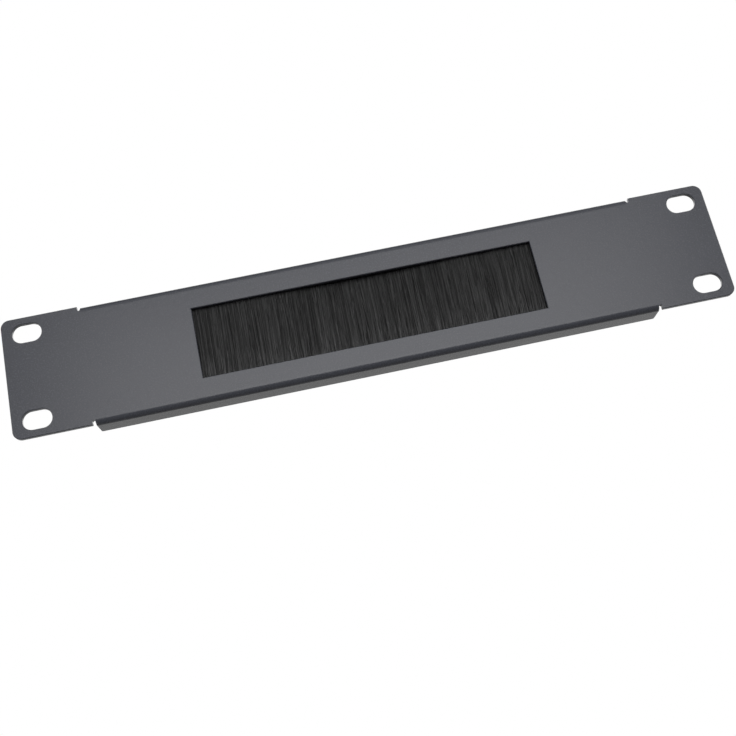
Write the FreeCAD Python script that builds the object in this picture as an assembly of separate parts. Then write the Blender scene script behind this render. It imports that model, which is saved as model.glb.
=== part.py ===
import FreeCAD, Part
import math
import os

from FreeCAD import Placement, Rotation, Vector

# Brush cable entry panel for a ten inch rack, one unit high.
# X runs along the panel's width, Z points up and the front face looks towards -Y.
# The origin is the centre of the ear slots, on the rear face of the ears (Y = 0).
# All sizes are in millimetres.

# Folded front panel
PANEL_WIDTH = 254.0
PANEL_HEIGHT = 43.7
SHEET = 1.5
BEND_RADIUS = 0.7
FLANGE_DEPTH = 9.5
FLANGE_LENGTH = 198.2
FLANGE_CORNER = 0.6
RELIEF_WIDTH = 1.0
RELIEF_DEPTH = 1.6
EAR_CORNER = 3.0
EDGE_BREAK = 0.2

# Rack screw slots in the ears, with their centres set in from the panel's edges
SLOT_INSET_X = 8.7375
SLOT_INSET_Z = 5.975
SLOT_LENGTH = 10.3
SLOT_WIDTH = 6.8

# Window that the brush closes
WINDOW_WIDTH = 122.0
WINDOW_HEIGHT = 26.0
WINDOW_CENTRE_Z = -0.2

# Strip brush: a crimped steel channel that grips the filaments and their core wire
CHANNEL_DEPTH = 3.4
CHANNEL_HEIGHT = 4.6
CHANNEL_WALL = 0.6
CHANNEL_BEND_RADIUS = 0.4
CHANNEL_PINCH = 0.2
CRIMP_PITCH = 10.0
CRIMP_WIDTH = 1.2
CRIMP_HEIGHT = 1.8
CRIMP_DEPTH = 0.15
CORE_WIRE_RADIUS = 0.45
STRIP_OVERLAP = 6.0
STRIP_BOW = 1.4
BOW_REACH = 40.0

# Filaments, folded over the core wire and gathered into tufts
TUFT_COUNT = 120
TUFT_FILL = 0.93
TUFT_TAPER = 0.85
TUFT_SHOULDER = 0.6
TUFT_NEST = 0.6
TUFT_LEAN = 0.30
TUFTS_PER_LEAN_WAVE = 17.0
TUFT_RIPPLE = 0.07
TUFTS_PER_RIPPLE = 7.3
TIP_OVERLAP = 3.8
TIP_UNEVENNESS = 0.4
TUFTS_PER_TIP_WAVE = 5.3

# Clamps that press the ends of the strip against the panel
CLAMP_SHEET = 1.0
CLAMP_WIDTH = 7.0
CLAMP_BEND_RADIUS = 0.5
CLAMP_GRIP = 5.0
CLAMP_CORNER = 1.0
CLAMP_HOLE_RADIUS = 2.3

# Weld studs with washers and nuts
STUD_RADIUS = 1.5
STUD_LENGTH = 5.2
STUD_CHAMFER = 0.3
STUD_FOOT_RADIUS = 2.1
STUD_FOOT_HEIGHT = 0.6
WASHER_RADIUS = 3.5
WASHER_BORE_RADIUS = 1.6
WASHER_THICKNESS = 0.5
NUT_ACROSS_FLATS = 5.5
NUT_HEIGHT = 2.4
NUT_CHAMFER = 0.3

# Clearances
FIT_CLEARANCE = 0.05
STRIP_TOP_CLEARANCE = 0.25
FOLD_INSET = 0.6
FOLD_SLOPE_SHARE = 1 / 3

# Places worked out from the sizes above
OUTER_BEND = BEND_RADIUS + SHEET
HALF_HEIGHT = PANEL_HEIGHT / 2
FRONT_Y = -SHEET
FLANGE_END_Y = FLANGE_DEPTH - SHEET
BEND_START_Z = HALF_HEIGHT - OUTER_BEND
RELIEF_END_X = FLANGE_LENGTH / 2 + RELIEF_WIDTH
SLOT_X = PANEL_WIDTH / 2 - SLOT_INSET_X
SLOT_Z = HALF_HEIGHT - SLOT_INSET_Z
WINDOW_FOOT_Z = WINDOW_CENTRE_Z - WINDOW_HEIGHT / 2
STRIP_TOP_Z = BEND_START_Z - STRIP_TOP_CLEARANCE
STRIP_MOUTH_Z = STRIP_TOP_Z - CHANNEL_HEIGHT
STRIP_HALF_LENGTH = WINDOW_WIDTH / 2 + STRIP_OVERLAP
STRIP_MIDDLE_Y = CHANNEL_DEPTH / 2
BOW_ANGLE = 2 * math.atan(STRIP_BOW / BOW_REACH)
BOW_RADIUS = BOW_REACH / 2 / math.sin(BOW_ANGLE)
FOLD_THICKNESS = CHANNEL_DEPTH - 2 * (CHANNEL_WALL + CHANNEL_PINCH + FIT_CLEARANCE)
FOLD_TOP_Z = STRIP_TOP_Z - CHANNEL_WALL - FIT_CLEARANCE
FOLD_FOOT_Z = STRIP_MOUTH_Z + FOLD_INSET
CORE_WIRE_Z = FOLD_TOP_Z - FOLD_THICKNESS / 2
TUFT_PITCH = 2 * STRIP_HALF_LENGTH / TUFT_COUNT
RISER_X = STRIP_HALF_LENGTH + CLAMP_BEND_RADIUS + FIT_CLEARANCE
STUD_X = RISER_X + CLAMP_SHEET + CLAMP_BEND_RADIUS + WASHER_RADIUS
STUD_Z = STRIP_TOP_Z - CLAMP_WIDTH / 2
NUT_FACE_Y = CLAMP_SHEET + WASHER_THICKNESS

ACROSS = Vector(1, 0, 0)
BACKWARDS = Vector(0, 1, 0)
UP = Vector(0, 0, 1)
TOLERANCE = 1e-6


def line_with_bends(points, radii):
    """A wire along the points, with an arc of the given radius at each point between its ends."""
    edges = []
    start = points[0]
    for i, radius in enumerate(radii):
        before, corner, after = points[i:i + 3]
        into = (corner - before).normalize()
        out = (after - corner).normalize()
        inwards = (out - into).normalize()
        half_turn = into.getAngle(out) / 2
        first = corner - into * radius * math.tan(half_turn)
        middle = corner + inwards * radius * (1 / math.cos(half_turn) - 1)
        last = corner + out * radius * math.tan(half_turn)
        if start.distanceToPoint(first) > TOLERANCE:
            edges.append(Part.makeLine(start, first))
        edges.append(Part.Arc(first, middle, last).toShape())
        start = last
    edges.append(Part.makeLine(start, points[-1]))
    return Part.Wire(edges)


def sheet_section(points, radii, thickness):
    """The section of a bent sheet: a line with bends and its parallel, a thickness away."""
    return line_with_bends(points, radii).makeOffset2D(thickness, 0, True, True)


def front_plate(width, height, corner, x=0, z=0):
    """A plate as thick as the sheet, with rounded corners, lying in the panel's front wall."""
    top = Vector(x, FRONT_Y, z + height / 2)
    corners = [Vector(x + i * width / 2, FRONT_Y, z + k * height / 2)
               for i, k in ((1, 1), (1, -1), (-1, -1), (-1, 1))]
    outline = line_with_bends([top] + corners + [top], [corner] * 4)
    return Part.Face(outline).extrude(BACKWARDS * SHEET)


def front_block(x_low, x_high, z_low, z_high):
    """A block as thick as the sheet, lying in the panel's front wall."""
    return Part.makeBox(x_high - x_low, SHEET, z_high - z_low, Vector(x_low, FRONT_Y, z_low))


def mirrored(shape):
    """The shape's mirror image across the panel's middle."""
    return shape.mirror(Vector(0, 0, 0), ACROSS)


def folded_middle():
    """The panel between its ears: one sheet with flanges folded back along the top and the foot."""
    x = -FLANGE_LENGTH / 2
    points = [Vector(x, FLANGE_END_Y, HALF_HEIGHT), Vector(x, FRONT_Y, HALF_HEIGHT),
              Vector(x, FRONT_Y, -HALF_HEIGHT), Vector(x, FLANGE_END_Y, -HALF_HEIGHT)]
    sheet = sheet_section(points, [OUTER_BEND] * 2, -SHEET).extrude(ACROSS * FLANGE_LENGTH)
    free_corners = [edge for edge in sheet.Edges
                    if edge.Length < SHEET + TOLERANCE and edge.BoundBox.YMin > FLANGE_END_Y - TOLERANCE]
    return sheet.makeFillet(FLANGE_CORNER, free_corners)


def relief():
    """The narrow cut with a round end between a flange and an ear, at the top right corner."""
    radius = RELIEF_WIDTH / 2
    x = FLANGE_LENGTH / 2 + radius
    end_z = HALF_HEIGHT - RELIEF_DEPTH + radius
    round_end = Part.makeCylinder(radius, SHEET, Vector(x, FRONT_Y, end_z), BACKWARDS)
    return round_end.fuse(front_block(x - radius, x + radius, end_z, HALF_HEIGHT))


def reliefs():
    """The reliefs at all four corners of the folded middle."""
    right = [relief(), relief().mirror(Vector(0, 0, 0), UP)]
    return right + [mirrored(cut) for cut in right]


def rack_slots():
    """The four round-ended slots for the rack screws."""
    centres = [(i * SLOT_X, k * SLOT_Z) for i in (-1, 1) for k in (-1, 1)]
    return [front_plate(SLOT_LENGTH, SLOT_WIDTH, SLOT_WIDTH / 2, x, z) for x, z in centres]


def window():
    """The rectangular opening in the middle of the panel."""
    return front_block(-WINDOW_WIDTH / 2, WINDOW_WIDTH / 2, WINDOW_FOOT_Z, WINDOW_FOOT_Z + WINDOW_HEIGHT)


def is_outline_edge(edge):
    """True for the front edges of the ears, the slots and the window, but not for those at the bends."""
    box = edge.BoundBox
    middle = edge.CenterOfMass
    on_front = max(abs(box.YMin - FRONT_Y), abs(box.YMax - FRONT_Y)) < TOLERANCE
    at_bend = abs(middle.z) > BEND_START_Z - TOLERANCE and abs(middle.x) < RELIEF_END_X + TOLERANCE
    return on_front and not at_bend


def make_front_panel():
    """The folded sheet with its ears, reliefs, slots and window, and its front edges broken."""
    ears = front_plate(PANEL_WIDTH, PANEL_HEIGHT, EAR_CORNER).cut(
        front_block(-FLANGE_LENGTH / 2, FLANGE_LENGTH / 2, -HALF_HEIGHT, HALF_HEIGHT))
    panel = folded_middle().fuse(ears).removeSplitter()
    panel = panel.cut(reliefs() + rack_slots() + [window()])
    return panel.makeChamfer(EDGE_BREAK, [edge for edge in panel.Edges if is_outline_edge(edge)])


def strip_place(x):
    """Where the strip runs at a distance x from the middle, and the way it heads there."""
    reach = abs(x)
    if reach >= BOW_REACH:
        return Placement(Vector(x, 0, 0), Rotation())
    if reach > BOW_REACH / 2:
        angle = math.asin((BOW_REACH - reach) / BOW_RADIUS)
        y = BOW_RADIUS * (1 - math.cos(angle))
    else:
        angle = math.asin(reach / BOW_RADIUS)
        y = STRIP_BOW - BOW_RADIUS * (1 - math.cos(angle))
    return Placement(Vector(x, y, 0), Rotation(UP, -math.copysign(math.degrees(angle), x)))


def carry_along_strip(section):
    """Carries a section along the strip, which bows away from the panel between straight ends."""
    turn = math.degrees(BOW_ANGLE)
    straight = ACROSS * (STRIP_HALF_LENGTH - BOW_REACH)
    bends = [(-BOW_REACH, Vector(-BOW_REACH, BOW_RADIUS, 0), UP, turn),
             (-BOW_REACH / 2, Vector(0, STRIP_BOW - BOW_RADIUS, 0), -UP, 2 * turn),
             (BOW_REACH / 2, Vector(BOW_REACH, BOW_RADIUS, 0), UP, turn)]
    pieces = []
    for x in (-STRIP_HALF_LENGTH, BOW_REACH):
        start = section.copy()
        start.Placement = strip_place(x)
        pieces.append(start.extrude(straight))
    for x, centre, axis, angle in bends:
        start = section.copy()
        start.Placement = strip_place(x)
        pieces.append(start.revolve(centre, axis, angle))
    return pieces[0].fuse(pieces[1:]).removeSplitter()


def crimp(x):
    """The pair of shallow marks that a crimping roller leaves on the channel's two legs."""
    corner = Vector(-CRIMP_WIDTH / 2, 0, STRIP_MOUTH_Z)
    front = Part.makeBox(CRIMP_WIDTH, CHANNEL_PINCH + CRIMP_DEPTH, CRIMP_HEIGHT, corner)
    rear = front.mirror(Vector(0, STRIP_MIDDLE_Y, 0), BACKWARDS)
    pair = Part.makeCompound([front, rear])
    pair.Placement = strip_place(x)
    return pair.Solids


def make_brush_channel():
    """The steel channel with its mouth down, pinched on the filaments and marked by the crimps."""
    points = [Vector(0, CHANNEL_PINCH, STRIP_MOUTH_Z), Vector(0, 0, STRIP_TOP_Z),
              Vector(0, CHANNEL_DEPTH, STRIP_TOP_Z), Vector(0, CHANNEL_DEPTH - CHANNEL_PINCH, STRIP_MOUTH_Z)]
    section = sheet_section(points, [CHANNEL_BEND_RADIUS + CHANNEL_WALL] * 2, CHANNEL_WALL)
    count = int(STRIP_HALF_LENGTH / CRIMP_PITCH)
    crimps = [solid for i in range(-count, count + 1) for solid in crimp(i * CRIMP_PITCH)]
    return carry_along_strip(section).cut(crimps)


def hexagon(centre, across_flats, first, second):
    """A six-sided face about a centre, with its corners turned from the first direction to the second."""
    radius = across_flats / math.sqrt(3)
    angles = [math.radians(60 * i) for i in range(7)]
    corners = [centre + first * radius * math.cos(a) + second * radius * math.sin(a) for a in angles]
    return Part.Face(Part.makePolygon(corners))


def filament_fold():
    """The filaments in the channel: packed side by side and folded over the core wire."""
    front = STRIP_MIDDLE_Y - FOLD_THICKNESS / 2
    rear = STRIP_MIDDLE_Y + FOLD_THICKNESS / 2
    slope = FOLD_THICKNESS * FOLD_SLOPE_SHARE
    outline = [(front, FOLD_FOOT_Z), (front, FOLD_TOP_Z - slope), (front + slope, FOLD_TOP_Z),
               (rear - slope, FOLD_TOP_Z), (rear, FOLD_TOP_Z - slope), (rear, FOLD_FOOT_Z)]
    corners = [Vector(0, y, z) for y, z in outline + outline[:1]]
    wire_room = 2 * (CORE_WIRE_RADIUS + FIT_CLEARANCE)
    wire_way = hexagon(Vector(0, STRIP_MIDDLE_Y, CORE_WIRE_Z), wire_room, UP, BACKWARDS)
    return carry_along_strip(Part.Face(Part.makePolygon(corners)).cut(wire_way).Faces[0])


def tuft_outline(x, z, size):
    """The outline of a tuft at one height, as a share of its full size.

    It is ridged at the front and the rear, and its sides nest into its neighbours' sides.
    """
    half_width = size * TUFT_FILL * TUFT_PITCH / 2
    half_depth = size * (FOLD_THICKNESS - FIT_CLEARANCE) / 2
    right = [(1, -TUFT_SHOULDER), (1 + TUFT_NEST, 0), (1, TUFT_SHOULDER)]
    left = [(i - 2, k) for i, k in reversed(right)]
    corners = [(0, -1)] + right + [(0, 1)] + left
    return [Vector(x + (i - TUFT_NEST / 2) * half_width, STRIP_MIDDLE_Y + k * half_depth, z)
            for i, k in corners]


def tuft(i):
    """One bundle of filaments, tapered towards an uneven tip and leaning a little with its neighbours."""
    turn = 2 * math.pi * i
    lean = TUFT_LEAN * math.sin(turn / TUFTS_PER_LEAN_WAVE) + TUFT_RIPPLE * math.sin(turn / TUFTS_PER_RIPPLE)
    tip_z = WINDOW_FOOT_Z - TIP_OVERLAP + TIP_UNEVENNESS * math.sin(turn / TUFTS_PER_TIP_WAVE)
    root_z = (FOLD_FOOT_Z + CORE_WIRE_Z - CORE_WIRE_RADIUS) / 2
    root = tuft_outline(0, root_z, 1)
    tip = tuft_outline(lean * TUFT_PITCH, tip_z, TUFT_TAPER)
    outlines = [root, tip] + [[root[k - 1], root[k], tip[k], tip[k - 1]] for k in range(len(root))]
    bundle = Part.Solid(Part.Shell([Part.Face(Part.makePolygon(line + line[:1])) for line in outlines]))
    bundle.Placement = strip_place((i + 0.5) * TUFT_PITCH - STRIP_HALF_LENGTH)
    return bundle


def make_brush_filaments():
    """The curtain of filaments: tufts side by side that hang from the fold in the channel."""
    return filament_fold().fuse([tuft(i) for i in range(TUFT_COUNT)])


def make_core_wire():
    """The wire that the filaments are folded over."""
    circle = Part.makeCircle(CORE_WIRE_RADIUS, Vector(0, STRIP_MIDDLE_Y, CORE_WIRE_Z), ACROSS)
    return carry_along_strip(Part.Face(Part.Wire(circle)))


def make_clamp():
    """The right clamp: a strip bent in two steps, its foot on the panel, its tongue on the channel."""
    foot_x = STUD_X + CLAMP_WIDTH / 2
    tongue_x = STRIP_HALF_LENGTH - CLAMP_GRIP
    points = [Vector(foot_x, 0, 0), Vector(RISER_X, 0, 0),
              Vector(RISER_X, CHANNEL_DEPTH, 0), Vector(tongue_x, CHANNEL_DEPTH, 0)]
    section = sheet_section(points, [CLAMP_BEND_RADIUS + CLAMP_SHEET, CLAMP_BEND_RADIUS], CLAMP_SHEET)
    strip = section.extrude(UP * CLAMP_WIDTH)
    strip.translate(UP * (STUD_Z - CLAMP_WIDTH / 2))
    ends = [edge for edge in strip.Edges if is_clamp_corner(edge, foot_x, tongue_x)]
    strip = strip.makeChamfer(CLAMP_CORNER, ends)
    return strip.cut(Part.makeCylinder(CLAMP_HOLE_RADIUS, CLAMP_SHEET, Vector(STUD_X, 0, STUD_Z), BACKWARDS))


def is_clamp_corner(edge, foot_x, tongue_x):
    """True for the short edges through the sheet at the two ends of a clamp."""
    box = edge.BoundBox
    at_end = abs(box.XMin - foot_x) < TOLERANCE or abs(box.XMax - tongue_x) < TOLERANCE
    return at_end and box.ZLength < TOLERANCE


def turned(profile):
    """A solid of revolution on the stud's axis, from points of radius and height above the panel."""
    points = [Vector(STUD_X + radius, y, STUD_Z) for radius, y in profile]
    face = Part.Face(Part.makePolygon(points + points[:1]))
    return face.revolve(Vector(STUD_X, 0, STUD_Z), BACKWARDS, 360)


def make_stud():
    """A threaded stud with a low foot that is welded to the rear of the panel."""
    return turned([(0, 0), (STUD_FOOT_RADIUS, 0), (STUD_FOOT_RADIUS, STUD_FOOT_HEIGHT),
                   (STUD_RADIUS, STUD_FOOT_HEIGHT), (STUD_RADIUS, STUD_LENGTH - STUD_CHAMFER),
                   (STUD_RADIUS - STUD_CHAMFER, STUD_LENGTH), (0, STUD_LENGTH)])


def make_washer():
    """A flat washer on the clamp's foot."""
    return turned([(WASHER_BORE_RADIUS, CLAMP_SHEET), (WASHER_RADIUS, CLAMP_SHEET),
                   (WASHER_RADIUS, NUT_FACE_Y), (WASHER_BORE_RADIUS, NUT_FACE_Y)])


def make_nut():
    """A hexagon nut on the washer, with its outer corners chamfered."""
    corner = NUT_ACROSS_FLATS / math.sqrt(3)
    bore = STUD_RADIUS + FIT_CLEARANCE
    end_y = NUT_FACE_Y + NUT_HEIGHT
    face = hexagon(Vector(STUD_X, NUT_FACE_Y, STUD_Z), NUT_ACROSS_FLATS, ACROSS, UP)
    blank = turned([(bore, NUT_FACE_Y), (corner, NUT_FACE_Y), (corner, end_y - NUT_CHAMFER),
                    (NUT_ACROSS_FLATS / 2, end_y), (bore, end_y)])
    return face.extrude(BACKWARDS * NUT_HEIGHT).common(blank)


def pair(right):
    """A right-hand piece and its mirror image on the left, as one group."""
    return Part.makeCompound([right, mirrored(right)])


def write_step(name, shape):
    shape.exportStep(f"parts/{name}.step")


def main():
    os.makedirs("parts", exist_ok=True)
    clamp = make_clamp()
    write_step("front_panel", make_front_panel())
    write_step("brush_channel", make_brush_channel())
    write_step("brush_core_wire", make_core_wire())
    write_step("brush_filaments", make_brush_filaments())
    write_step("clamp_right", clamp)
    write_step("clamp_left", mirrored(clamp))
    write_step("weld_studs", pair(make_stud()))
    write_step("clamp_washers", pair(make_washer()))
    write_step("clamp_nuts", pair(make_nut()))


main()
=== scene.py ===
import math

import bpy
import numpy as np
from mathutils import Matrix, Vector


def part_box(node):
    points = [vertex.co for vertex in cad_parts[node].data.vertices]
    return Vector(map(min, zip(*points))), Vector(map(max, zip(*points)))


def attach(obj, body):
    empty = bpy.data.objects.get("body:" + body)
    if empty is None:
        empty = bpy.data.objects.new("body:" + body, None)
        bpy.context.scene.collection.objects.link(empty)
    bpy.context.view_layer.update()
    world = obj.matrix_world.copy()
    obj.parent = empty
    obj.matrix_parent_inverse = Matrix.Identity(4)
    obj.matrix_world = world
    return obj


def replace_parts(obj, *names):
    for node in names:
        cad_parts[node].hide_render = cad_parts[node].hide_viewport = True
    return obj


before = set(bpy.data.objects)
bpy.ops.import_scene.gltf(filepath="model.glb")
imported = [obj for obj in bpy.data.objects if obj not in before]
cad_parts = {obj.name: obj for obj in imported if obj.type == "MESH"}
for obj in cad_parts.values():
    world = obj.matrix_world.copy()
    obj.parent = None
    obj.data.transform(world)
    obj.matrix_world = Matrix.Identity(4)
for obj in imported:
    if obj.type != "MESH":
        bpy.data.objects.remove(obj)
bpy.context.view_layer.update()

# Brush cable entry panel: finishes, filaments, stud threads, light and camera.
# All sizes are in metres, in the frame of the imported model.
MM = 0.001
BODY = "root"

# Camera, in front of the panel and below it, turned a little about its line of sight
CAMERA_PLACE = Vector((-28.2, -352.4, -135.6)) * MM
CAMERA_AIM = Vector((-5.12, -1.5, -21.63)) * MM
CAMERA_ROLL = math.radians(12.70)
CAMERA_LENS = 52.74
CAMERA_SENSOR = 36.0
CAMERA_NEAREST = 0.01
CAMERA_FARTHEST = 50

# Brush: layers of filaments from the core wire outwards, each folded over it into two legs
FILAMENT_RADIUS = 0.14 * MM
FILAMENT_PITCH = 0.25 * MM
FILAMENT_LAYERS = 5
FILAMENT_SIDES = 3
PACK_DEPTH = 1.7 * MM
BOW_REACH = 40 * MM
WIRE_RADIUS = 0.45 * MM
RANDOM_SEED = 7

# Roots: the first one's place in pitches, by turns from layer to layer, and the places of a
# filament's front leg, top and rear leg beside its root
LAYER_STARTS = (0.25, 0.75)
FOLD_OFFSETS = np.array([-0.25, 0, 0.25]) * FILAMENT_PITCH
ROOT_JITTER = 0.035 * MM

# Legs, from the channel's mouth at 0 to the tip at 1: where their points lie, how far and where
# the front ones splay, how lean and sway grow along them, and the innermost layer's share of both
LEG_SHAPE = np.array([0, 0.06, 0.18, 0.31, 0.45, 0.59, 0.73, 0.87, 1])
SPLAY = 0.4 * MM
SPLAY_REACH = 0.06
LEAN_POWER = 1.4
SWAY_POWER = 1.3
INNER_FREEDOM = 0.08

# Clumps of filaments that lie together. At the tip, a lean is sideways and a sway is in depth.
CLUMP_WIDTHS = (0.5 * MM, 2.2 * MM)
MEAN_LEAN = -0.92 * MM
CLUMP_LEAN = 0.45 * MM
CLUMP_SWAY = 0.2 * MM
CLUMP_GATHER = (0.05, 0.4)
CLUMP_TONES = (0.88, 1.12)

# Single filaments in their clump: their own lean, sway, bend and waves, their tones, a painted
# highlight towards the tips, and strays, with a painted glint
TIP_LEAN = 0.42 * MM
TIP_SWAY = 0.12 * MM
TIP_UNEVENNESS = 0.35 * MM
SIDE_BEND = 0.42 * MM
WAVE_DEPTH = 0.13 * MM
WAVE_COUNTS = (0.8, 2.2)
WAVE_REACH = 0.5
FILAMENT_TONES = (0.45, 1.65)
# Painted highlight: the tone grows towards the tips, for the light that catches them
TIP_PAINTED_HIGHLIGHT = 0.9
TIP_PAINTED_HIGHLIGHT_POWER = 3
STRAY_SHARE = 0.06
STRAY_LEAN = 1.7 * MM
# Painted glint: strays get a lighter tone, for the light that glints on them
STRAY_PAINTED_GLINT = 1.35

# Stud threads. The thread's slope and offset leave a small flat at the crest and at the root.
STUD_FOOT_RADIUS = 2.1 * MM
STUD_FOOT_HEIGHT = 0.6 * MM
STUD_RADIUS = 1.5 * MM
STUD_CHAMFER = 0.3 * MM
THREAD_PITCH = 0.5 * MM
THREAD_DEPTH = 0.3 * MM
THREAD_SLOPE = 1.25
THREAD_OFFSET = 0.125
THREAD_SIDES = 40
THREAD_ROWS_PER_PITCH = 8

# Lamps, all soft: azimuth and elevation in degrees, width and height in metres, power in watts.
# Azimuth 0 is in front of the panel, 90 to its right.
LAMP_DISTANCE = 1.8
LAMPS = {
    "front": (4, 7.5, 1.34, 1.19, 27.6),
    "key": (5, 50, 1.35, 0.75, 3.8),
    "rear": (172, 32, 2.4, 1.8, 15.5),
}

# World: its light on the object, and the white that is seen, which dims towards the zenith
WORLD_LIGHT = 0.06
WHITE = 1.0
ZENITH_START = 0.75
ZENITH_WHITE = 0.4

# Stage: near the panel the floor is pale and lit and keeps the panel's shadow, with a weaker glow:
# a painted pool of shade, which fades to plain white far from it.
# That is what the camera and reflections see. To all other rays it is dim, so that it throws
# little light back at the panel.
FLOOR_Z = -0.36
FLOOR_HALF_WIDTH = 30.0
FLOOR_COLOUR = (0.8, 0.8, 0.8)
FLOOR_GLOW = 0.3
FLOOR_DIM_COLOUR = (0.06, 0.06, 0.06)
# Distances from the panel over which the painted pool of shade fades into plain white
PAINTED_SHADE_POOL_RADII = (0.5, 1.85)


def new_material(name, colour, roughness, metallic=0.0, specular=0.5):
    """A principled material with the sockets that are the same all over the surface."""
    material = bpy.data.materials.new(name)
    material.use_nodes = True
    shader = material.node_tree.nodes["Principled BSDF"]
    shader.inputs["Base Color"].default_value = (*colour, 1)
    shader.inputs["Roughness"].default_value = roughness
    shader.inputs["Metallic"].default_value = metallic
    shader.inputs["Specular IOR Level"].default_value = specular
    return material, material.node_tree, shader


def noise(tree, scale, detail, stretch=(1, 1, 1)):
    """A noise texture in the object's own coordinates. The scale is in features per metre."""
    place = tree.nodes.new("ShaderNodeTexCoord")
    mapping = tree.nodes.new("ShaderNodeMapping")
    mapping.inputs["Scale"].default_value = stretch
    texture = tree.nodes.new("ShaderNodeTexNoise")
    texture.inputs["Scale"].default_value = scale
    texture.inputs["Detail"].default_value = detail
    tree.links.new(place.outputs["Object"], mapping.inputs["Vector"])
    tree.links.new(mapping.outputs["Vector"], texture.inputs["Vector"])
    return texture.outputs["Fac"]


def spread(tree, value, low, high, start=0.3, end=0.7):
    """Maps a value from start to end, the middle of a texture's range, onto low to high."""
    node = tree.nodes.new("ShaderNodeMapRange")
    node.inputs["From Min"].default_value = start
    node.inputs["From Max"].default_value = end
    node.inputs["To Min"].default_value = low
    node.inputs["To Max"].default_value = high
    tree.links.new(value, node.inputs["Value"])
    return node.outputs["Result"]


def combined(tree, operation, first, second):
    """The result of a maths operation on two values."""
    node = tree.nodes.new("ShaderNodeMath")
    node.operation = operation
    tree.links.new(first, node.inputs[0])
    tree.links.new(second, node.inputs[1])
    return node.outputs["Value"]


def mixed(tree, factor, first, second):
    """A mix of two shaders: the first one where the factor is 0, the second one where it is 1."""
    node = tree.nodes.new("ShaderNodeMixShader")
    tree.links.new(factor, node.inputs["Fac"])
    tree.links.new(first, node.inputs[1])
    tree.links.new(second, node.inputs[2])
    return node.outputs["Shader"]


def tinted(tree, shader, colour, factor):
    """Gives the shader the colour times a varying factor."""
    node = tree.nodes.new("ShaderNodeVectorMath")
    node.operation = "SCALE"
    node.inputs[0].default_value = colour
    tree.links.new(factor, node.inputs["Scale"])
    tree.links.new(node.outputs["Vector"], shader.inputs["Base Color"])


def bumped(tree, shader, height, depth, before=None):
    """Adds a bump of the given depth to the shader, on top of an earlier one."""
    node = tree.nodes.new("ShaderNodeBump")
    node.inputs["Distance"].default_value = depth
    node.inputs["Strength"].default_value = 1.0
    tree.links.new(height, node.inputs["Height"])
    if before is not None:
        tree.links.new(before, node.inputs["Normal"])
    tree.links.new(node.outputs["Normal"], shader.inputs["Normal"])
    return node.outputs["Normal"]


def powder_coat():
    """Dark powder coat with a fine grain and a slight orange peel, greyer under a broad lamp."""
    colour = (0.0415, 0.044, 0.055)
    material, tree, shader = new_material("powder_coat_grey", colour, 0.26, specular=0.256)
    grain = noise(tree, scale=2100, detail=3)
    peel = noise(tree, scale=600, detail=1)
    cloud = noise(tree, scale=30, detail=2)
    grain_tint = spread(tree, grain, low=0.91, high=1.09)
    cloud_tint = spread(tree, cloud, low=0.97, high=1.03)
    tinted(tree, shader, colour, combined(tree, "MULTIPLY", grain_tint, cloud_tint))
    tree.links.new(spread(tree, grain, low=0.23, high=0.29), shader.inputs["Roughness"])
    peeled = bumped(tree, shader, peel, depth=0.018 * MM)
    bumped(tree, shader, grain, depth=0.01 * MM, before=peeled)
    return material


def galvanised_steel():
    """Dull zinc with faint spangles and rolling marks along the strip."""
    colour = (0.4, 0.41, 0.42)
    material, tree, shader = new_material("galvanised_steel", colour, 0.42, metallic=1.0)
    rolling = noise(tree, scale=900, detail=3, stretch=(0.04, 1, 1))
    spangle = noise(tree, scale=320, detail=1)
    tinted(tree, shader, colour, spread(tree, spangle, low=0.8, high=1.15))
    tree.links.new(spread(tree, rolling, low=0.34, high=0.5), shader.inputs["Roughness"])
    bumped(tree, shader, rolling, depth=0.01 * MM)
    return material


def zinc_plate(name, colour, roughness):
    """Zinc plated steel with a slightly cloudy, finely brushed surface."""
    material, tree, shader = new_material(name, colour, roughness, metallic=1.0)
    cloud = noise(tree, scale=260, detail=3)
    brushing = noise(tree, scale=1600, detail=2, stretch=(0.15, 1, 1))
    cloud_roughness = spread(tree, cloud, low=roughness * 0.8, high=roughness * 1.25)
    tinted(tree, shader, colour, spread(tree, cloud, low=0.86, high=1.1))
    tree.links.new(cloud_roughness, shader.inputs["Roughness"])
    bumped(tree, shader, brushing, depth=0.006 * MM)
    return material


def drawn_wire():
    """Plain drawn steel wire."""
    colour = (0.42, 0.42, 0.43)
    material, tree, shader = new_material("drawn_wire_steel", colour, 0.38, metallic=1.0)
    drawing = noise(tree, scale=1500, detail=2, stretch=(0.03, 1, 1))
    tinted(tree, shader, colour, spread(tree, drawing, low=0.85, high=1.1))
    bumped(tree, shader, drawing, depth=0.008 * MM)
    return material


def black_nylon():
    """Black nylon filament, with a tone of its own for each filament, and painted highlights
    towards the tips and on strays.
    """
    colour = (0.0408, 0.0409, 0.0411)
    material, tree, shader = new_material("black_nylon", colour, 0.5, specular=0.05)
    tone = tree.nodes.new("ShaderNodeAttribute")
    tone.attribute_name = "tone"
    tinted(tree, shader, colour, tone.outputs["Fac"])
    ripple = noise(tree, scale=9000, detail=1, stretch=(1, 1, 0.2))
    bumped(tree, shader, ripple, depth=0.004 * MM)
    return material


def finish_node(name, material):
    """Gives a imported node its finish."""
    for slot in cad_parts[name].material_slots:
        slot.material = material


def new_piece(name, points, sides, caps, material):
    """A mesh piece from arrays of points, smooth four sided faces and flat end caps."""
    mesh = bpy.data.meshes.new(name)
    mesh.from_pydata(points.tolist(), [], sides.tolist() + caps.tolist())
    smooth = np.arange(len(mesh.polygons)) < len(sides)
    mesh.polygons.foreach_set("use_smooth", smooth)
    mesh.materials.append(material)
    piece = bpy.data.objects.new(name, mesh)
    bpy.context.scene.collection.objects.link(piece)
    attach(piece, BODY)
    return piece


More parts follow.
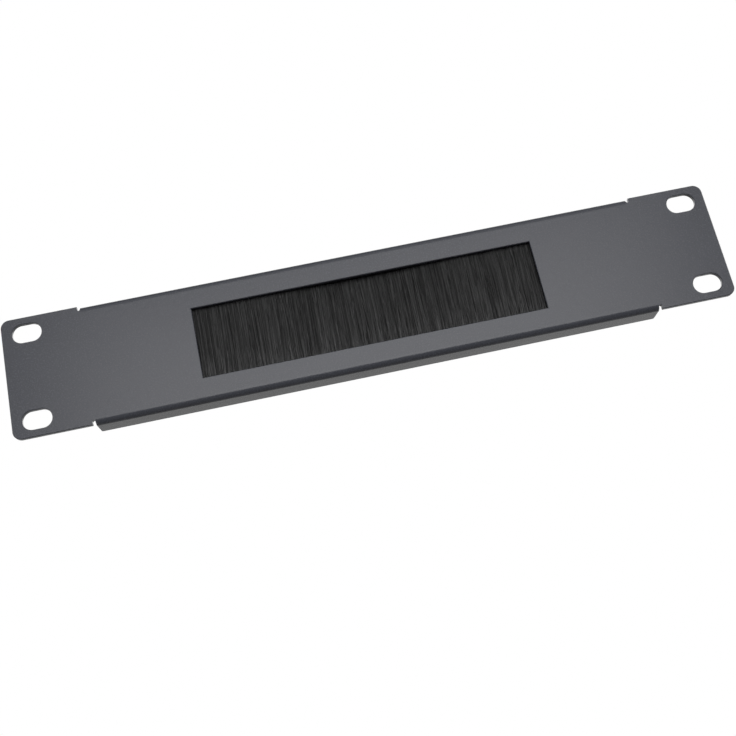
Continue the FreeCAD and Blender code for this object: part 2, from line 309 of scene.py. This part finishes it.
def bow(x, middle_y, depth):
    """The middle of the strip at x: straight ends, and a bow backwards of three smooth arcs."""
    angle = 2 * math.atan(depth / BOW_REACH)
    radius = BOW_REACH / 2 / math.sin(angle)
    reach = np.abs(x)
    inner = depth - radius + np.sqrt(np.maximum(radius**2 - reach**2, 0))
    outer = radius - np.sqrt(np.maximum(radius**2 - (BOW_REACH - reach) ** 2, 0))
    bowed = np.where(reach < BOW_REACH / 2, inner, np.where(reach < BOW_REACH, outer, 0))
    return middle_y + bowed


def clumps(random, low, high):
    """Clumps side by side from low to high: edges, middles, leans, sways, gathering and tones."""
    widths = random.uniform(*CLUMP_WIDTHS, int((high - low) / CLUMP_WIDTHS[0]) + 2)
    edges = low + np.concatenate([[0], np.cumsum(widths)])
    count = len(edges) - 1
    return {
        "edges": edges,
        "middle": (edges[1:] + edges[:-1]) / 2,
        "lean": random.normal(MEAN_LEAN, CLUMP_LEAN, count),
        "sway": random.normal(0, CLUMP_SWAY, count),
        "gather": random.uniform(*CLUMP_GATHER, count),
        "tone": random.uniform(*CLUMP_TONES, count),
    }


def leg_paths(random, roots, mouth_depth, splay, freedom, heights, reach):
    """One layer's legs from the mouth to the tips: x, depth, z and tone at each point, the tone
    with a painted highlight towards the tip and a painted glint on strays.
    """
    mouth_z, tip_z = heights
    count = len(roots)
    group = clumps(random, *reach)
    of = np.clip(np.searchsorted(group["edges"], roots) - 1, 0, len(group["middle"]) - 1)
    lean = group["lean"][of] + group["gather"][of] * (group["middle"][of] - roots)
    lean += random.normal(0, TIP_LEAN, count)
    stray = random.random(count) < STRAY_SHARE
    lean += np.where(stray, random.normal(0, STRAY_LEAN, count), 0)
    sway = group["sway"][of] + random.normal(0, TIP_SWAY, count)
    bend = random.normal(0, SIDE_BEND, count)
    tips = tip_z + random.uniform(0, TIP_UNEVENNESS, count)
    u = LEG_SHAPE[None, :]
    leaning = lean[:, None] * u**LEAN_POWER + bend[:, None] * np.sin(math.pi * u)
    x = roots[:, None] + freedom * leaning
    depth = mouth_depth - splay * np.minimum(u / SPLAY_REACH, 1)
    depth = depth + freedom * sway[:, None] * u**SWAY_POWER
    wave = random.uniform(*WAVE_COUNTS, (count, 1)) * u + random.random((count, 1))
    depth = depth + WAVE_DEPTH * np.minimum(u / WAVE_REACH, 1) * np.sin(2 * math.pi * wave)
    z = mouth_z + (tips[:, None] - mouth_z) * u
    tone = group["tone"][of] * random.uniform(*FILAMENT_TONES, count)
    # Strays get a painted glint.
    tone = tone * np.where(stray, STRAY_PAINTED_GLINT, 1)
    # Every leg gets a painted highlight that grows towards its tip.
    return x, depth, z, tone[:, None] * (1 + TIP_PAINTED_HIGHLIGHT * u**TIP_PAINTED_HIGHLIGHT_POWER)


def filament_paths(random, low, high):
    """The filaments between two places on the strip: up, over the wire and down again."""
    lowest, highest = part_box("brush_filaments")
    mouth_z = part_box("brush_channel")[0].z
    wire_low, wire_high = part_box("brush_core_wire")
    middle_y = lowest.y + PACK_DEPTH / 2
    bow_depth = highest.y - lowest.y - PACK_DEPTH
    wire_z = (wire_low.z + wire_high.z) / 2
    heights = (mouth_z, lowest.z)
    reach = (low, high)
    fold_room = PACK_DEPTH / 2 - WIRE_RADIUS - 2 * FILAMENT_RADIUS
    paths = []
    tones = []
    for layer in range(FILAMENT_LAYERS):
        count = round((high - low) / FILAMENT_PITCH)
        start = LAYER_STARTS[layer % 2]
        roots = low + (np.arange(count) + start) * (high - low) / count
        roots = roots + random.uniform(-ROOT_JITTER, ROOT_JITTER, count)
        share = (layer + 0.5) / FILAMENT_LAYERS
        mouth = share * (PACK_DEPTH / 2 - FILAMENT_RADIUS)
        round_wire = WIRE_RADIUS + FILAMENT_RADIUS + share * fold_room
        over_wire = min(round_wire, highest.z - FILAMENT_RADIUS - wire_z)
        freedom = INNER_FREEDOM + (1 - INNER_FREEDOM) * layer / (FILAMENT_LAYERS - 1)
        fold_x = roots[:, None] + FOLD_OFFSETS
        splay = share * SPLAY
        front = leg_paths(random, fold_x[:, 0], -mouth, splay, freedom, heights, reach)
        rear = leg_paths(random, fold_x[:, 2], mouth, 0, freedom, heights, reach)
        ones = np.ones((count, 3))
        fold_depth = ones * np.array([-round_wire, 0, round_wire])
        fold_z = ones * (wire_z + np.array([0, over_wire, 0]))
        folds = (fold_x, fold_depth, fold_z, ones)
        parts = [np.hstack([up[:, ::-1], fold, down]) for up, fold, down in zip(front, folds, rear)]
        x, depth, z, tone = parts
        y = bow(roots, middle_y, bow_depth)[:, None] + depth
        paths.append(np.stack([x, y, z], axis=2))
        tones.append(tone)
    return np.concatenate(paths), np.concatenate(tones)


def tubes(random, paths, radius, sides):
    """Thin closed tubes along the paths, as arrays of points, side faces and end caps."""
    count, length, _ = paths.shape
    along = np.gradient(paths, axis=1)
    along /= np.linalg.norm(along, axis=2, keepdims=True)
    across = np.array([1.0, 0, 0]) - along * along[..., :1]
    across /= np.linalg.norm(across, axis=2, keepdims=True)
    other = np.cross(along, across)
    turn = random.uniform(0, 2 * math.pi, (count, 1, 1)) + np.arange(sides) * 2 * math.pi / sides
    cos, sin = np.cos(turn)[..., None], np.sin(turn)[..., None]
    points = paths[:, :, None] + radius * (across[:, :, None] * cos + other[:, :, None] * sin)
    index = np.arange(count * length * sides).reshape(count, length, sides)
    following = np.roll(index, -1, axis=2)
    quads = [index[:, :-1], following[:, :-1], following[:, 1:], index[:, 1:]]
    caps = np.concatenate([index[:, 0, ::-1], index[:, -1]])
    return points.reshape(-1, 3), np.stack(quads, axis=-1).reshape(-1, 4), caps


def make_filaments(material):
    """Two pieces of folded filaments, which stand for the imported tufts."""
    lowest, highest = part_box("brush_channel")
    random = np.random.default_rng(RANDOM_SEED)
    first, last = lowest.x + FILAMENT_RADIUS, highest.x - FILAMENT_RADIUS
    middle = (first + last) / 2
    halves = {"filaments_left": (first, middle), "filaments_right": (middle, last)}
    for name, (low, high) in halves.items():
        paths, tones = filament_paths(random, low, high)
        points, sides, caps = tubes(random, paths, FILAMENT_RADIUS, FILAMENT_SIDES)
        piece = new_piece(name, points, sides, caps, material)
        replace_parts(piece, "brush_filaments")
        # The tone attribute holds each filament's own tone with the painted highlight at its tips
        # and the painted glint on strays.
        attribute = piece.data.attributes.new("tone", "FLOAT", "POINT")
        attribute.data.foreach_set("value", np.repeat(tones, FILAMENT_SIDES).astype(np.float32))


def stud_radius(y, turn, length):
    """The stud's radius at a height above the panel, for each share of a turn."""
    ramp = np.abs(((y / THREAD_PITCH - turn) % 1) * 2 - 1)
    thread = STUD_RADIUS - THREAD_DEPTH * np.clip(ramp * THREAD_SLOPE - THREAD_OFFSET, 0, 1)
    return np.minimum(thread, STUD_RADIUS - STUD_CHAMFER + length - y)


def make_stud(name, x, z, length, material):
    """A welded stud with a plain foot and a thread up to its end."""
    turn = np.arange(THREAD_SIDES) / THREAD_SIDES
    angle = 2 * math.pi * turn
    heights = np.arange(STUD_FOOT_HEIGHT, length, THREAD_PITCH / THREAD_ROWS_PER_PITCH)
    rows = [(y, 0 * turn + STUD_FOOT_RADIUS) for y in (0, STUD_FOOT_HEIGHT)]
    rows += [(y, stud_radius(y, turn, length)) for y in (*heights, length)]
    rings = []
    for y, radius in rows:
        ring = [x + radius * np.cos(angle), 0 * angle + y, z + radius * np.sin(angle)]
        rings.append(np.stack(ring, axis=1))
    index = np.arange(len(rows) * THREAD_SIDES).reshape(len(rows), THREAD_SIDES)
    following = np.roll(index, -1, axis=1)
    quads = np.stack([index[:-1], index[1:], following[1:], following[:-1]], axis=-1)
    sides = quads.reshape(-1, 4)
    caps = np.stack([index[0], index[-1, ::-1]])
    return new_piece(name, np.concatenate(rings), sides, caps, material)


def make_studs(material):
    """Threaded studs in place of the two plain ones."""
    lowest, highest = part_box("weld_studs")
    x = highest.x - STUD_FOOT_RADIUS
    z = (lowest.z + highest.z) / 2
    for name, place in (("stud_left", -x), ("stud_right", x)):
        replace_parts(make_stud(name, place, z, highest.y, material), "weld_studs")


def make_looks():
    """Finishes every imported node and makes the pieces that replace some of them."""
    coat = powder_coat()
    galvanised = galvanised_steel()
    clamp_zinc = zinc_plate("clamp_zinc", (0.45, 0.46, 0.475), 0.34)
    fastener_zinc = zinc_plate("fastener_zinc", (0.5, 0.51, 0.53), 0.28)
    nylon = black_nylon()
    finish_node("front_panel", coat)
    finish_node("brush_channel", galvanised)
    finish_node("brush_core_wire", drawn_wire())
    finish_node("brush_filaments", nylon)
    for name in ("clamp_left", "clamp_right"):
        finish_node(name, clamp_zinc)
    for name in ("weld_studs", "clamp_washers", "clamp_nuts"):
        finish_node(name, fastener_zinc)
    make_filaments(nylon)
    make_studs(fastener_zinc)


def area_lamp(name, azimuth, elevation, width, height, power):
    """A soft lamp that looks at the panel."""
    light = bpy.data.lights.new(name, "AREA")
    light.shape = "RECTANGLE"
    light.size = width
    light.size_y = height
    light.energy = power
    lamp = bpy.data.objects.new(name, light)
    bpy.context.scene.collection.objects.link(lamp)
    side = math.radians(azimuth)
    rise = math.radians(elevation)
    level = math.cos(rise)
    towards = Vector((math.sin(side) * level, -math.cos(side) * level, math.sin(rise)))
    lamp.location = towards * LAMP_DISTANCE
    lamp.rotation_mode = "QUATERNION"
    lamp.rotation_quaternion = towards.to_track_quat("Z", "Y")
    lamp.visible_camera = False


def make_lamps():
    """A broad lamp in front, a weaker one above it, and one above behind."""
    for name, values in LAMPS.items():
        area_lamp(name, *values)


def seen_or_elsewhere(tree, elsewhere, seen):
    """One shader for what the camera sees, also in reflections, and another for all other rays."""
    rays = tree.nodes.new("ShaderNodeLightPath").outputs
    mirrored = combined(tree, "MAXIMUM", rays["Is Glossy Ray"], rays["Is Transmission Ray"])
    either = combined(tree, "MAXIMUM", rays["Is Camera Ray"], mirrored)
    return mixed(tree, either, elsewhere, seen)


def make_world():
    """A white background, with a low level of light on the object."""
    world = bpy.data.worlds.new("studio")
    bpy.context.scene.world = world
    world.use_nodes = True
    tree = world.node_tree
    low = tree.nodes["Background"]
    low.inputs["Color"].default_value = (1, 1, 1, 1)
    low.inputs["Strength"].default_value = WORLD_LIGHT
    white = tree.nodes.new("ShaderNodeBackground")
    white.inputs["Color"].default_value = (1, 1, 1, 1)
    direction = tree.nodes.new("ShaderNodeTexCoord")
    height = tree.nodes.new("ShaderNodeSeparateXYZ")
    tree.links.new(direction.outputs["Generated"], height.inputs["Vector"])
    strength = spread(tree, height.outputs["Z"], WHITE, ZENITH_WHITE, ZENITH_START, 1.0)
    tree.links.new(strength, white.inputs["Strength"])
    surface = seen_or_elsewhere(tree, low.outputs["Background"], white.outputs["Background"])
    tree.links.new(surface, tree.nodes["World Output"].inputs["Surface"])


def make_floor():
    """A pale floor far below the panel, white to the eye far from it and grey near it, a painted
    pool of shade that also holds the panel's real soft shadow.
    """
    material, tree, pale = new_material("floor_white", FLOOR_COLOUR, 1.0, specular=0.0)
    dim = tree.nodes.new("ShaderNodeBsdfDiffuse")
    dim.inputs["Color"].default_value = (*FLOOR_DIM_COLOUR, 1)
    glow = tree.nodes.new("ShaderNodeEmission")
    glow.inputs["Strength"].default_value = FLOOR_GLOW
    near = tree.nodes.new("ShaderNodeAddShader")
    tree.links.new(pale.outputs["BSDF"], near.inputs[0])
    tree.links.new(glow.outputs["Emission"], near.inputs[1])
    far = tree.nodes.new("ShaderNodeEmission")
    far.inputs["Strength"].default_value = WHITE
    place = tree.nodes.new("ShaderNodeTexCoord")
    distance = tree.nodes.new("ShaderNodeVectorMath")
    distance.operation = "LENGTH"
    tree.links.new(place.outputs["Object"], distance.inputs[0])
    # Painted shade: a grey pool around the panel, where the floor glows weaker, fading to plain
    # white with distance
    fade = spread(tree, distance.outputs["Value"], 0, 1, *PAINTED_SHADE_POOL_RADII)
    seen = mixed(tree, fade, near.outputs["Shader"], far.outputs["Emission"])
    surface = seen_or_elsewhere(tree, dim.outputs["BSDF"], seen)
    tree.links.new(surface, tree.nodes["Material Output"].inputs["Surface"])
    mesh = bpy.data.meshes.new("floor")
    w = FLOOR_HALF_WIDTH
    corners = [(-w, -w, FLOOR_Z), (w, -w, FLOOR_Z), (w, w, FLOOR_Z), (-w, w, FLOOR_Z)]
    mesh.from_pydata(corners, [], [(0, 1, 2, 3)])
    mesh.materials.append(material)
    floor = bpy.data.objects.new("floor", mesh)
    bpy.context.scene.collection.objects.link(floor)


def make_camera():
    """The camera at the photograph's place and angle."""
    data = bpy.data.cameras.new("camera")
    data.sensor_width = CAMERA_SENSOR
    data.lens = CAMERA_LENS
    data.clip_start = CAMERA_NEAREST
    data.clip_end = CAMERA_FARTHEST
    camera = bpy.data.objects.new("camera", data)
    bpy.context.scene.collection.objects.link(camera)
    facing = (CAMERA_AIM - CAMERA_PLACE).to_track_quat("-Z", "Y").to_matrix().to_4x4()
    roll = Matrix.Rotation(-CAMERA_ROLL, 4, "Z")
    camera.matrix_world = Matrix.Translation(CAMERA_PLACE) @ facing @ roll
    bpy.context.scene.camera = camera


make_camera()
make_looks()
make_lamps()
make_world()
make_floor()
bpy.context.scene.view_settings.view_transform = "Standard"
